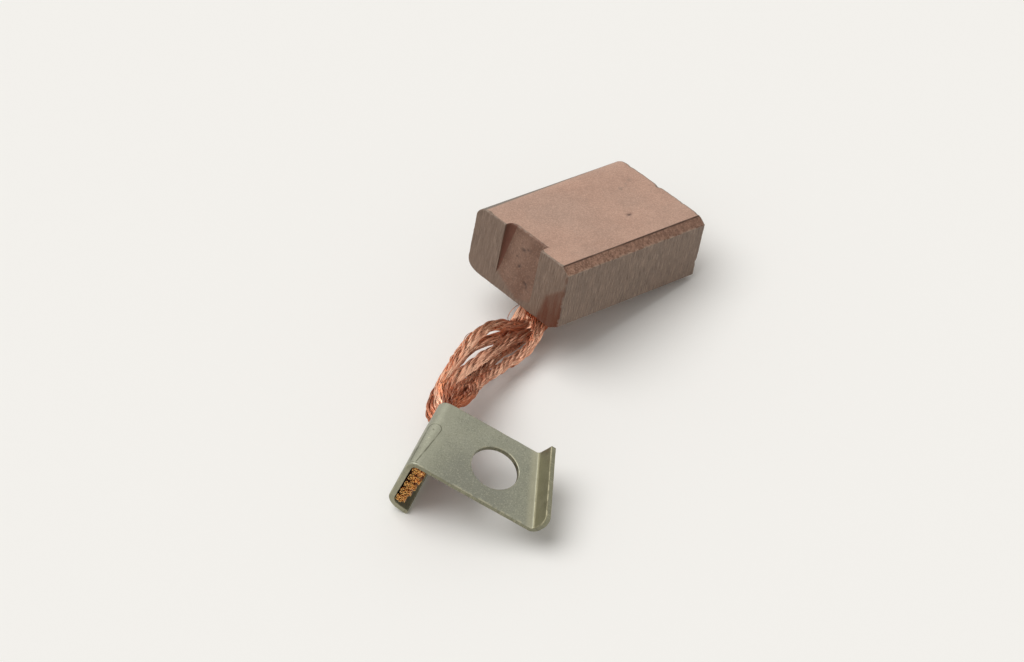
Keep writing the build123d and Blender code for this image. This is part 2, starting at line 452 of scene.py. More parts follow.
def spline_points(points):
    """Points along a NURBS line of order 3 whose control points are given, in metres."""
    curve = bpy.data.curves.new("strand_line", "CURVE")
    curve.dimensions = "3D"
    spline = curve.splines.new("NURBS")
    spline.points.add(len(points) - 1)
    ones = np.ones((len(points), 1))
    spline.points.foreach_set("co", np.hstack([np.asarray(points) * MM, ones]).ravel())
    spline.order_u = 3
    spline.use_endpoint_u = True
    spline.resolution_u = 24
    holder = bpy.data.objects.new("strand_line", curve)
    mesh = bpy.data.meshes.new_from_object(holder)
    flat = np.empty(len(mesh.vertices) * 3)
    mesh.vertices.foreach_get("co", flat)
    bpy.data.objects.remove(holder)
    bpy.data.curves.remove(curve)
    bpy.data.meshes.remove(mesh)
    return flat.reshape(-1, 3)


def even_stations(line, count):
    """The line resampled to count points an equal way apart, and its length."""
    steps = np.linalg.norm(np.diff(line, axis=0), axis=1)
    way = np.concatenate([[0.0], np.cumsum(steps)])
    keep = np.concatenate([[True], steps > 0])
    at = np.linspace(0.0, way[-1], count)
    return np.stack([np.interp(at, way[keep], line[keep, k]) for k in range(3)], -1), way[-1]


LINES = {letter: spline_points(points) for letter, points in ROUTES.items()}
print({letter: round(even_stations(line, 9)[1] / MM, 1) for letter, line in LINES.items()}, "mm")

# %% [markdown]
# ## Wires
#
# A strand of this kind is a small rope: six loose bunches lie round a core, and the wires of each
# bunch are twisted the other way. That double twist is what gives copper leads their gritty
# look. A tube with a bump map would show it from one side only, so every wire is a real tube.

# %% Lay the wires round the line
WIRE_RADIUS = 0.066
WIRE_REACH = 0.250
BUNCH_REACH = 0.405
STATIONS = 220
HELD_END = 11.6
BUNCHES = 7
WIRES_EACH = 16
WIRES_WITHIN = 4
STRAY_SHARE = 0.06
NOISE_ROW = 11.0
# Bright is each strand's painted light, added to its wires' tone where it runs free
ROPE_FACTS = {
    "a": dict(pitch=13.0, lobe=0.05, turn=0.4, swell=0.05, bright=0.75, seed=11),
    "b": dict(pitch=14.0, lobe=0.04, turn=1.9, swell=0.06, bright=0.26, seed=23),
    "c": dict(pitch=12.5, lobe=0.05, turn=3.1, swell=0.14, bright=0.34, seed=37),
    "d": dict(pitch=11.5, lobe=0.06, turn=4.4, swell=0.14, bright=0.30, seed=41),
    "e": dict(pitch=7.4, lobe=0.15, turn=5.2, swell=0.02, bright=0.20, seed=59),
}
BUNCH = np.repeat(np.arange(BUNCHES), WIRES_EACH)
WIRE = np.tile(np.arange(WIRES_EACH), BUNCHES)
WITHIN = (WIRE < WIRES_WITHIN)[:, None]
WIRES = BUNCH.size


def rope_offsets(way, length, pitch, lobe, turn, swell, bright, seed):
    """Place of every wire beside the strand's line: B (cos b, sin b) + W (cos w, sin w).

    The bunch angle b turns back by a full turn in every pitch, and the wire angle w turns forward
    a little faster. Noise along the way keeps bunches and wires from running like a drawn pattern,
    and every other bunch stands out by the lobe. A few outer wires bow away from their bunch.
    Between bore and fold the whole strand swells, because nothing holds it together there.
    """
    rng = np.random.default_rng(seed)
    fold_at = length - HELD_END
    loose = smoothstep(1.0, 6.5, way) * smoothstep(fold_at + 1.5, fold_at - 3.0, way)
    free = smoothstep(6.0, 10.0, way) * smoothstep(fold_at + 1.6, fold_at - 0.4, way)
    wire_rows = np.arange(WIRES)[:, None] * NOISE_ROW
    bunch_rows = BUNCH[:, None] * NOISE_ROW
    by_wire = np.stack(np.broadcast_arrays(way, wire_rows, seed * 3.0), -1)
    by_bunch = np.stack(np.broadcast_arrays(way, bunch_rows, seed * 5.0), -1)
    outer_bunch = (BUNCH > 0)[:, None]
    bunch_angle = BUNCH[:, None] * np.pi / 3 - 2 * np.pi * way / pitch + turn
    bunch_angle = bunch_angle + 0.45 * loose * soft_noise(by_bunch, 2.8, seed)
    shares = np.where(WITHIN[:, 0], WIRE / WIRES_WITHIN, WIRE / (WIRES_EACH - WIRES_WITHIN))
    wire_angle = (2 * np.pi * shares + BUNCH * 1.3)[:, None] + 2.4 * np.pi * way / pitch
    wire_angle = wire_angle + 0.60 * soft_noise(by_wire, 2.2, seed + 1)

    stands = lobe * np.cos(np.pi * BUNCH)[:, None] * (0.25 + 0.75 * loose)
    bunch_reach = BUNCH_REACH * (1.0 + stands)
    bunch_reach = bunch_reach + 0.07 * loose * soft_noise(by_bunch, 1.9, seed + 2)
    astray = outer_bunch & (rng.random(WIRES) < STRAY_SHARE)[:, None]
    stray_at = rng.uniform(7.0, fold_at - 4.0, WIRES)[:, None]
    bow = rng.uniform(0.06, 0.22, WIRES)[:, None] * bell(way - stray_at, 1.3)
    bunch_reach = bunch_reach * outer_bunch + bow * astray
    wire_reach = WIRE_REACH * np.where(WITHIN, 0.45, 1.0) * (0.86 + 0.14 * loose)
    wire_reach = wire_reach * (1.0 + 0.30 * soft_noise(by_wire, 1.2, seed + 3))
    grown = 1.0 + swell * free
    sideways = grown * (bunch_reach * np.cos(bunch_angle) + wire_reach * np.cos(wire_angle))
    upward = grown * (bunch_reach * np.sin(bunch_angle) + wire_reach * np.sin(wire_angle))

    tone = 0.10 * rng.random(BUNCHES)[BUNCH][:, None] + 0.45 * rng.random(WIRES)[:, None]
    tone = tone + 0.45 * (soft_noise(by_wire, 0.8, seed + 4) + 1.0) / 2.0
    # Painted light: each strand is lighter by its bright share where it runs free; all are darker
    # over the last stretch before the fold
    tone = tone + bright * free - 0.75 * smoothstep(length - 21.0, length - 12.5, way)
    # Painted shade where the strands come out from under the block
    tone = tone - 0.45 * smoothstep(10.0, 6.5, way)
    tone = tone + 0.75 * smoothstep(length - 2.5, length - 0.5, way)
    return sideways, upward, tone, grown


print("wires in a strand:", WIRES)

# %% [markdown]
# ## Squeezed ends
#
# In the terminal's fold the strands are pressed together until they fill it, and from the cut end
# they show as one mass of wire ends. So the wires' places are pushed from a round towards a square
# there, and each wire ends a little sooner or later than the next.

# %% Make the strand pieces
WIRE_SIDES = 4
SIDE_HINT = np.array([-0.25, 0.95, 0.10])
FOLD_OUT = np.array([0.41595, -0.82345, -0.38591])
FOLD_UP = np.array([0.17400, -0.34445, 0.92254])
FOLD_WIDE = {"a": 1.22, "b": 1.02, "c": 1.36, "d": 1.48, "e": 1.42}
FOLD_HIGH = 1.15
SQUARENESS = 0.45
LOWEST = 0.11
STRAY_RADIUS = 0.055
WIRE_HINT = np.array([0.35, 0.21, 0.91])


def squeezed(offsets, held, wide):
    """Offsets in the fold, drawn out towards the corners of a square, widened, and off the wall."""
    out_way, up_way = offsets @ FOLD_OUT, offsets @ FOLD_UP
    longest = np.maximum(np.maximum(np.abs(out_way), np.abs(up_way)), 1e-6)
    square = 1.0 + SQUARENESS * (np.hypot(out_way, up_way) / longest - 1.0)
    off_wall = STRAND_DIAMETER / 2 * (wide - 1.0)
    shift = (out_way * (wide * square - 1.0) + off_wall)[..., None] * FOLD_OUT
    shift = shift + (up_way * (FOLD_HIGH * square - 1.0))[..., None] * FOLD_UP
    return offsets + held[None, :, None] * shift


def tubes_round(spines, radius):
    """Rings of points round each spine, square to its own direction."""
    along = unit(np.gradient(spines, axis=1))
    across = unit(np.cross(along, WIRE_HINT))
    over = np.cross(along, across)
    ring = (np.arange(WIRE_SIDES) * 2 * np.pi / WIRE_SIDES)[:, None]
    around = np.cos(ring) * across[:, :, None] + np.sin(ring) * over[:, :, None]
    return spines[:, :, None] + radius * around


def wound_strand(letter):
    """Tubes of all wires of a strand, their masks, and the strand's line and length, in mm."""
    facts = ROPE_FACTS[letter]
    line, length = even_stations(LINES[letter] / MM, STATIONS)
    way = np.linspace(0.0, length, STATIONS)
    onward = unit(np.gradient(line, axis=0))
    side = unit(SIDE_HINT - onward * (onward @ SIDE_HINT)[:, None])
    up = np.cross(onward, side)
    sideways, upward, tone, grown = rope_offsets(way, length, **facts)
    held = smoothstep(length - HELD_END - 1.0, length - HELD_END + 1.5, way)
    offsets = sideways[..., None] * side + upward[..., None] * up
    spines = line + squeezed(offsets, held, FOLD_WIDE[letter])
    spines[..., 2] = np.maximum(spines[..., 2], LOWEST)
    rng = np.random.default_rng(facts["seed"] + 500)
    end_shift = rng.uniform(-0.30, 0.05, WIRES)[:, None] * smoothstep(length - 1.5, length, way)
    spines = spines + end_shift[..., None] * onward
    tubes = tubes_round(spines, WIRE_RADIUS)
    reach = np.linalg.norm(tubes - line[None, :, None], axis=-1) / grown[None, :, None]
    # How far out a wire lies; the copper paints shade on the wires deep in the strand
    crown = np.maximum(smoothstep(0.30, 0.58, reach), 0.5 * held[None, :, None])
    side_tone = rng.uniform(-0.20, 0.20, (WIRES, 1, WIRE_SIDES))
    cut = np.broadcast_to(way[None, :, None] >= length, crown.shape) * 1.0
    masks = {"wire_tone": tone[..., None] + side_tone, "wire_crown": crown, "wire_cut": cut}
    return tubes, masks, line, length


def strand_piece(letter):
    """The mesh object of one strand: a ring of quads along every wire, closed at both ends."""
    tubes, masks, line, length = wound_strand(letter)
    if letter == "a":
        loose_wire = even_stations(spline_points(STRAY_ROUTE), STATIONS)[0][None] / MM
        tubes = np.concatenate([tubes, tubes_round(loose_wire, STRAY_RADIUS)])
        for label, value in (("wire_tone", 0.5), ("wire_crown", 0.5), ("wire_cut", 0.0)):
            row = np.full_like(masks[label][:1], value)
            masks[label] = np.concatenate([masks[label], row])
    starts = np.arange(len(tubes))[:, None] * STATIONS * WIRE_SIDES
    quads = (grid_quads(STATIONS, WIRE_SIDES, wrap=True)[None] + starts[..., None]).reshape(-1, 4)
    ring = np.arange(WIRE_SIDES)[None]
    ends = np.concatenate([starts + ring[:, ::-1], starts + (STATIONS - 1) * WIRE_SIDES + ring])
    faces = quads.tolist() + ends.tolist()
    points = tubes.reshape(-1, 3) * MM
    piece = surface_object("strand_" + letter, points, faces, masks, sharp_angle=60.0)
    return piece, line * MM, length * MM


print("points in a strand:", WIRES * STATIONS * WIRE_SIDES)

# %% [markdown]
# ## Copper
#
# Bare copper wire is a warm metal that is browner where it has tarnished. The tone of each wire comes
# from the mesh, with painted light where the strands run free and painted shade where they come out
# from under the block. The painted shade on the wires deep between the bunches also comes from the
# mesh. A slow cloud adds tarnished patches, painted highlights come as bright specks, and the freshly
# cut ends are more golden.

# %% Mix the copper and finish the lead


def copper_paint():
    """Metal from dark to bright copper by wire, with painted shade by depth in the strand and painted
    highlight specks.
    """
    paint = Paint("bare_copper_wire")
    place = paint.place()
    cloud = paint.group(CLOUD, place, scale=420.0, detail=4.0)["Cloud"]
    grain = paint.group(GRAIN, place, scale=5200.0, spread=0.08)
    # The wire tone from the mesh carries painted light and painted shade
    tone = paint.ramp(paint.mask("wire_tone"), 0.0, 1.1)
    crevice_shade = paint.math("SUBTRACT", 1.0, paint.mask("wire_crown"))
    body = paint.layers(
        paint.mix(tone, (0.33, 0.092, 0.040), (0.99, 0.610, 0.430)),
        (cloud, 0.35, (0.58, 0.185, 0.090)),
        # Painted highlights: bright specks on the wires
        (grain["Light"], 0.35, (0.98, 0.70, 0.54)),
        # Painted shade on the wires deep between the bunches
        (crevice_shade, 0.65, (0.190, 0.056, 0.026)),
        (paint.mask("wire_cut"), 0.85, (0.98, 0.57, 0.17)),
    )
    roughness = paint.ramp(cloud, 0.0, 1.0, 0.22, 0.40)
    return paint.finish(body, roughness, 0.90, [(grain["Height"], 0.25, 0.00002)])


COPPER = copper_paint()
strand_sizes = {}
for letter in ROUTES:
    strand, strand_line, strand_length = strand_piece(letter)
    strand.data.materials.append(COPPER)
    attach(strand, "root")
    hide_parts("lead_strand_" + letter)
    strand_sizes[letter] = round(strand_length / MM, 1)
print("strands, mm:", strand_sizes)

# %% [markdown]
# ## The block's shape
#
# The block is pressed from powder and ground, so it has rounded and bevelled long edges, a sloping
# groove for the spring in its rear end, and edges that are a little worn and chipped. Two grids
# make the ends, with columns that follow the groove's walls, and a third grid wraps round between
# them.

# %% Measures of the block
BLOCK_LENGTH = 26.5
BLOCK_WIDTH = 18.0
BLOCK_HEIGHT = 10.0
BLOCK_PITCH = np.radians(16.0)
BLOCK_FOOT = np.array([27.6, 11.3, 0.0])
LEFT_ROUND = (2.4, 1.55)
RIGHT_BEVEL = (1.3, 0.9)
BEVEL_STEP = 0.10
GROOVE_HALF = 3.5
GROOVE_DEPTH = 1.3
GROOVE_FOOT = 2.0
GROOVE_WALL = 0.02

half_width = BLOCK_WIDTH / 2
bevel_across = RIGHT_BEVEL[0] - half_width
bevel_low = BLOCK_HEIGHT - RIGHT_BEVEL[1]
block_axes = np.array([
    [np.cos(BLOCK_PITCH), 0.0, -np.sin(BLOCK_PITCH)],
    [0.0, 1.0, 0.0],
    [np.sin(BLOCK_PITCH), 0.0, np.cos(BLOCK_PITCH)],
])


def block_to_world(local):
    """Block coordinates (along from the rear, to the left, up), in mm, to metres in the frame."""
    shifted = np.asarray(local, dtype=float) - np.array([BLOCK_LENGTH, 0.0, 0.0])
    return (BLOCK_FOOT + shifted @ block_axes) * MM


def side_reach(up, left):
    """Half-width of the section by height: a quarter ellipse at the left, a bevel at the right.

    The upper right bevel begins a small step below the top face, where the press left a line.
    """
    from_edge = np.minimum(up, BLOCK_HEIGHT - up)
    if left:
        wide, high = LEFT_ROUND
        t = np.clip(1.0 - from_edge / high, 0.0, 1.0)
        return half_width - wide * (1.0 - np.sqrt(1.0 - t * t))
    wide, high = RIGHT_BEVEL
    step = np.where(up > BLOCK_HEIGHT / 2, BEVEL_STEP, 0.0)
    t = np.clip(1.0 - np.maximum(from_edge - step, 0.0) / (high - step), 0.0, 1.0)
    return half_width - wide * t


def crowded(low, high, count, tight=0.25):
    """Numbers from low to high, closer at both ends: a cosine row blended with an even one."""
    even = np.linspace(0.0, 1.0, count)
    eased = 0.5 - 0.5 * np.cos(np.pi * even)
    return low + (high - low) * (tight * even + (1.0 - tight) * eased)


def end_grid():
    """Across and up of an end's points: rows of equal height, columns along the groove walls."""
    quarter = LEFT_ROUND[1] * (1.0 - np.cos(np.linspace(0.0, np.pi / 2, 17)))
    bevel_rows = crowded(BEVEL_STEP, RIGHT_BEVEL[1], 11)
    corner = np.concatenate([quarter, crowded(0.0, BEVEL_STEP, 4), bevel_rows])
    middle_rows = crowded(LEFT_ROUND[1], BLOCK_HEIGHT - LEFT_ROUND[1], 44, 0.7)
    up = np.unique(np.concatenate([corner, middle_rows, BLOCK_HEIGHT - corner]).round(2))
    outside = crowded(0.0, 1.0, 36, 0.2)
    outer, inner = GROOVE_HALF + GROOVE_WALL, GROOVE_HALF - GROOVE_WALL
    left_edge, right_edge = side_reach(up, True)[:, None], -side_reach(up, False)[:, None]
    left = left_edge + (outer - left_edge) * outside[None]
    middle = np.repeat(crowded(inner, -inner, 64, 0.35)[None], up.size, 0)
    right_part = -outer + (right_edge + outer) * outside[None]
    across = np.concatenate([left, middle, right_part], axis=1)
    return across, np.repeat(up[:, None], across.shape[1], 1)


ACROSS, UP = end_grid()
print("end grid", ACROSS.shape, "points")

# %% [markdown]
# ## Wear on the ends
#
# A sharp computed edge gives a model away. Each end is drawn in along its rim by a small quarter
# circle whose radius changes with noise, and by larger ones where a corner has chipped.

# %% Shape the two ends
EVEN_WEAR = 0.15
LEAST_WEAR = 0.06
GROOVE_ROUND = 1.05
# Each chip is its place along, across and up, its width and how much it adds to the radius
CHIPS = ((26.5, 0.35, 10.0, 0.8, 0.40), (0.0, -3.6, 10.0, 0.5, 0.22), (26.5, -7.4, 9.9, 0.9, 0.3),
         (0.0, 6.8, 9.9, 0.9, 0.22), (26.5, 6.0, 10.0, 0.7, 0.22), (0.0, -7.6, 9.8, 0.6, 0.25),
         (26.5, -4.4, 10.0, 0.5, 0.16), (0.0, -8.9, 6.2, 0.5, 0.18), (26.5, -8.9, 3.0, 0.7, 0.2))

turns = np.linspace(0.0, np.pi / 2, 13)
round_across = half_width - LEFT_ROUND[0] * (1.0 - np.sin(turns))
round_up = LEFT_ROUND[1] * (1.0 - np.cos(turns))
SECTION = np.concatenate([
    np.stack([round_across, round_up], -1),
    np.stack([round_across, BLOCK_HEIGHT - round_up], -1)[::-1],
    [[bevel_across, BLOCK_HEIGHT], [-half_width, bevel_low],
     [-half_width, RIGHT_BEVEL[1]], [bevel_across, 0.0]]])


def rim_distance(across, up):
    """Distance of an end's points from the section's outline, by its nearest straight side."""
    place = np.stack([across, up], -1)
    run = unit(np.roll(SECTION, -1, 0) - SECTION)
    inward = np.stack([-run[:, 1], run[:, 0]], -1)
    return np.min(np.einsum("...nk,nk->...n", place[..., None, :] - SECTION, inward), -1)


def rounding(distance, radius):
    """How far a quarter circle of that radius draws the surface in, by distance from the edge."""
    t = np.clip(1.0 - distance / radius, 0.0, 1.0)
    return radius * (1.0 - np.sqrt(np.maximum(1.0 - t * t, 0.0)))


def wear_radius(along, across, up):
    """Edge radius: a small even wear, slow noise, and round chips where a corner is broken off."""
    place = np.stack(np.broadcast_arrays(along, across, up), -1)
    radius = EVEN_WEAR + uneven(place, (0.05, 1.3, 5), (0.05, 0.45, 6))
    for *chip_place, width, size in CHIPS:
        gap = np.linalg.norm(place - np.array(chip_place), axis=-1)
        radius = radius + size * bell(gap, width / 2)
    return np.maximum(radius, LEAST_WEAR)


def groove_depth(across, up):
    """Depth of the spring groove: a plane sloping in towards the top, with one rounded corner."""
    slope = np.maximum(GROOVE_DEPTH * (up - GROOVE_FOOT) / (BLOCK_HEIGHT - GROOVE_FOOT), 0.0)
    radius = np.maximum(GROOVE_ROUND * smoothstep(-0.2, 1.0, slope), 1e-6)
    lifted = rounding(GROOVE_HALF - across, radius) * np.clip(slope, 0.0, 1.0)
    return (np.abs(across) < GROOVE_HALF) * np.maximum(slope - lifted, 0.0)


# Each pit is its place across and up, its width and its depth
GROOVE_PITS = ((0.2, 7.5, 0.45, 0.10), (-1.7, 3.4, 0.38, 0.14), (-2.1, 3.0, 0.25, 0.12),
               (0.1, 5.1, 0.35, 0.09), (-0.5, 7.9, 0.25, 0.10), (1.0, 6.2, 0.2, 0.07))
rear_place = np.stack([np.zeros_like(ACROSS), ACROSS, UP], -1)
rear_depth = groove_depth(ACROSS, UP)
in_groove = smoothstep(0.02, 0.16, rear_depth)
rim_gap_end = rim_distance(ACROSS, UP)
rear_along = rear_depth + rounding(rim_gap_end, wear_radius(0.0, ACROSS, UP))
rear_along = rear_along + uneven(rear_place, (0.010, 1.9, 8))
rear_along = rear_along + in_groove * uneven(rear_place, (0.022, 0.7, 9), (0.018, 0.3, 10))
groove_pit = np.zeros_like(ACROSS)
ragged = 1.0 + uneven(rear_place, (0.3, 0.25, 11))
for pit_across, pit_up, width, depth in GROOVE_PITS:
    gap = np.hypot(ACROSS - pit_across, (UP - pit_up) * 1.4) * ragged
    rear_along = rear_along + in_groove * depth * bell(gap, width)
    groove_pit = np.maximum(groove_pit, in_groove * bell(gap, width * 0.8))
front_along = BLOCK_LENGTH - rounding(rim_gap_end, wear_radius(BLOCK_LENGTH, ACROSS, UP))
print("groove depth, mm:", round(float(rear_depth.max()), 2))

# %% [markdown]
# ## Long faces
#
# The third grid starts on the rear end's outline and runs to the front end's, so the rims are
# shared and the skin is closed. Dents of slow noise, a few pits on the top face and a crumbly
# right bevel move the skin along its outward direction, and inwards where the number is negative.
# Below, the skin sinks in behind the tamped powder, whose face is level with the underside.

# %% Join the three grids
ALONG_STEPS = 148
BORE_PLACE = (4.2, -1.8)
POWDER_RADIUS = 2.58
MOUTH_DEPTH = 0.30
# A point this near to the level of the top face or the underside counts as on it
HAIR = 0.005
# Each pit is its place along, across and up, its width and its depth
TOP_PITS = ((17.45, -2.84, 10.0, 0.30, 0.17), (20.9, 2.2, 10.0, 0.16, 0.05),
            (9.3, -5.1, 10.0, 0.14, 0.04))
PIT_STRETCH = np.array([0.7, 1.3, 1.0])


def rim_loop(grid):
    """A grid's outline, once round: bottom row, last column, top row back, first column down."""
    return np.concatenate([grid[0, :-1], grid[:-1, -1], grid[-1, :0:-1], grid[:0:-1, 0]])


def outward_of(loop_across, loop_up):
    """Outward direction along the outline, square to the way round."""
    tangent = np.stack([np.roll(loop_across, -1) - np.roll(loop_across, 1),
                        np.roll(loop_up, -1) - np.roll(loop_up, 1)], -1)
    tangent = unit(tangent + 1e-9)
    return np.stack([-tangent[:, 1], tangent[:, 0]], -1)


loop_across, loop_up = rim_loop(ACROSS), rim_loop(UP)
loop_rear, loop_front = rim_loop(rear_along), rim_loop(front_along)
share = crowded(0.0, 1.0, ALONG_STEPS, 0.75)
wall_along = loop_rear[None] + (loop_front - loop_rear)[None] * share[:, None]
wall_place = np.stack(np.broadcast_arrays(wall_along, loop_across, loop_up), -1)
on_right_bevel = (loop_across < bevel_across - 0.02) & (loop_up > bevel_low - 0.001)
dent = uneven(wall_place, (0.008, 2.6, 12), (0.005, 0.8, 13))
top_pit = np.zeros_like(dent)
for *pit_place, width, depth in TOP_PITS:
    gap = np.linalg.norm((wall_place - np.array(pit_place)) * PIT_STRETCH, axis=-1)
    dent = dent - depth * bell(gap, width)
    top_pit = np.maximum(top_pit, depth / TOP_PITS[0][-1] * bell(gap, width))
bevel_foot = bell(loop_up - bevel_low, 0.13) * (loop_across < bevel_across)
dent = dent - bevel_foot * 0.10 * smoothstep(0.15, 0.75, soft_noise(wall_place, 0.7, 14))
crumbs = uneven(wall_place, (0.014, 0.55, 15), (0.010, 0.3, 16))
crumbs = crumbs - 0.03 * smoothstep(0.5, 0.8, soft_noise(wall_place, 0.9, 17))
dent = dent + on_right_bevel * crumbs
dent = dent * (smoothstep(0.0, 0.02, share) * smoothstep(1.0, 0.98, share))[:, None]
from_bore = np.hypot(wall_along - BORE_PLACE[0], loop_across - BORE_PLACE[1])
bore_mouth = smoothstep(POWDER_RADIUS + 0.06, POWDER_RADIUS - 0.24, from_bore)
dent = dent - MOUTH_DEPTH * bore_mouth * (loop_up < HAIR)
outward = outward_of(loop_across, loop_up)
walls = wall_place.copy()
walls[..., 1:] += dent[..., None] * outward

end_rows, end_columns = ACROSS.shape
end_count = end_rows * end_columns
rear_points = np.stack([rear_along, ACROSS, UP], -1).reshape(-1, 3)
front_points = np.stack([front_along, ACROSS, UP], -1).reshape(-1, 3)
block_points = np.concatenate([rear_points, front_points, walls[1:-1].reshape(-1, 3)])

rear_loop = rim_loop(np.arange(end_count).reshape(end_rows, end_columns))
inner_rows = np.arange((ALONG_STEPS - 2) * rear_loop.size).reshape(-1, rear_loop.size)
rows = np.concatenate([rear_loop[None], inner_rows + 2 * end_count, rear_loop[None] + end_count])
next_rows = np.roll(rows, -1, axis=1)
wall_quads = np.stack([rows[:-1], rows[1:], next_rows[1:], next_rows[:-1]], -1).reshape(-1, 4)
rear_quads = grid_quads(end_rows, end_columns)
block_quads = np.concatenate([rear_quads, rear_quads[:, ::-1] + end_count, wall_quads])
print("block:", len(block_points), "points,", len(block_quads), "quads")

# %% [markdown]
# ## Masks of the block
#
# The faces differ in finish: the pressed faces are pink, the ground ones grey-brown. Each point
# of the mesh carries numbers that say which face it is on and how near it is to an edge, and the
# material reads them.

# %% Find where each point lies
SCRATCH_FROM, SCRATCH_TO = np.array([24.6, 3.9]), np.array([18.6, 1.6])

flat_walls = wall_place[1:-1].reshape(-1, 3)
end_places = np.stack([ACROSS, UP], -1).reshape(-1, 2)
end_alongs = np.repeat([0.0, BLOCK_LENGTH], end_count)
along_all = np.concatenate([end_alongs, flat_walls[:, 0]])
across_all, up_all = np.concatenate([end_places, end_places, flat_walls[:, 1:]]).T
numbers = np.arange(len(block_points))
on_wall, on_rear = numbers >= 2 * end_count, numbers < end_count
wall_gap = np.minimum(flat_walls[:, 0], BLOCK_LENGTH - flat_walls[:, 0])
end_gap = np.concatenate([rim_gap_end.ravel(), rim_gap_end.ravel(), wall_gap])
scratch_run = SCRATCH_TO - SCRATCH_FROM
from_start = np.stack([along_all, across_all], -1) - SCRATCH_FROM
scratch_t = np.clip(from_start @ scratch_run / (scratch_run @ scratch_run), 0.0, 1.0)
scratch_gap = np.linalg.norm(from_start - scratch_t[:, None] * scratch_run, axis=-1)
print("points on the ends:", 2 * end_count, "on the long faces:", int(on_wall.sum()))

# %% Mark the faces
PINK_EDGE, PINK_SPREAD = 7.55, 0.85
# Outline of the lead's painted reflection and shadow on the rear end
LEAD_SHADE_LIMIT = ((0.0, 4.2, 6.85), (-5.0, -5.9, -8.8))
FLOOR_LIMIT = ((-3.4, -0.9, 1.4, 3.3), (1.5, 0.5, 1.5, 2.6))


def rear_only(values):
    """A mask of the rear end's grid, 0 everywhere else."""
    return np.concatenate([values.ravel(), np.zeros(len(block_points) - end_count)])


round_foot = BLOCK_HEIGHT - LEFT_ROUND[1]
on_round = smoothstep(round_foot - 0.5, round_foot + 0.3, up_all)
on_round = on_round * (across_all > half_width - LEFT_ROUND[0])
past_pink = across_all - (PINK_EDGE + PINK_SPREAD * along_all / BLOCK_LENGTH)
flat_top = np.maximum((up_all > BLOCK_HEIGHT - HAIR) * (across_all < 7.0),
                      on_round * smoothstep(0.22, -0.22, past_pink))
on_right = across_all < bevel_across
on_bevel = (across_all < bevel_across - 0.01) * (up_all > bevel_low - 0.001)
# Painted reflection and shadow of the lead on the rear end's lower right
lead_reflection_shade = smoothstep(0.35, -0.55, across_all - np.interp(up_all, *LEAD_SHADE_LIMIT))
lead_reflection_shade = lead_reflection_shade * (0.7 + 0.3 * smoothstep(6.0, 1.0, up_all))
floor_soft = 0.35 + uneven(rear_place, (0.25, 0.6, 18))
floor_tint = smoothstep(-floor_soft, floor_soft, UP - np.interp(ACROSS, *FLOOR_LIMIT))
floor_tint = floor_tint * (np.abs(ACROSS) < GROOVE_HALF - GROOVE_WALL)
# Painted shade on the groove's left wall
wall_wide = np.clip(rear_depth.max(axis=1, keepdims=True) / GROOVE_DEPTH, 0.0, 1.0)
wall_wide = 0.12 + 0.95 * wall_wide
groove_wall_shade = smoothstep(wall_wide + 0.08, wall_wide - 0.08, GROOVE_HALF - ACROSS) * in_groove
rubbed = bell(scratch_gap, 0.30) * smoothstep(0.0, 0.2, scratch_t) * smoothstep(1.0, 0.6, scratch_t)
# The line where the bevel's step meets the top face, where the material paints shade
step_line = bell(across_all - bevel_across + 0.03, 0.10) * (up_all > BLOCK_HEIGHT - 0.2)
block_masks = {
    "top_face": on_wall * flat_top,
    "under_face": on_wall * (up_all < HAIR),
    "right_bevel": on_wall * on_bevel * (up_all < BLOCK_HEIGHT - 0.5 * BEVEL_STEP),
    "left_round": on_wall * on_round,
    "groove": rear_only(floor_tint),
    "groove_wall": rear_only(groove_wall_shade),
    # Pits, which the material paints dark as the shade inside them
    "deep_pit": np.concatenate([groove_pit.ravel(), np.zeros(end_count), top_pit[1:-1].ravel()]),
    "step_line": on_wall * step_line,
    "bevel_foot": on_wall * on_right * bell(up_all - bevel_low, 0.09),
    "rim": bell(end_gap, 0.13),
    "rear_end": on_rear,
    "along_share": along_all / BLOCK_LENGTH,
    "lead_reflection_shade": on_rear * lead_reflection_shade,
    "scratch": on_wall * flat_top * rubbed,
}
block = surface_object("block", block_to_world(block_points), block_quads.tolist(), block_masks,
                       sharp_angle=28.0)
print("masks:", sorted(block_masks))

# %% [markdown]
# ## Copper-graphite
#
# Copper smears over the pressed top face and makes it pink. The ground ends and sides are
# grey-brown with fine lines up and down, and the right bevel is left rough. One material tells
# these apart by the masks, so that no seam shows between them.

# %% Mix the copper-graphite
BLOCK_TURN = (0.0, -float(BLOCK_PITCH), 0.0)


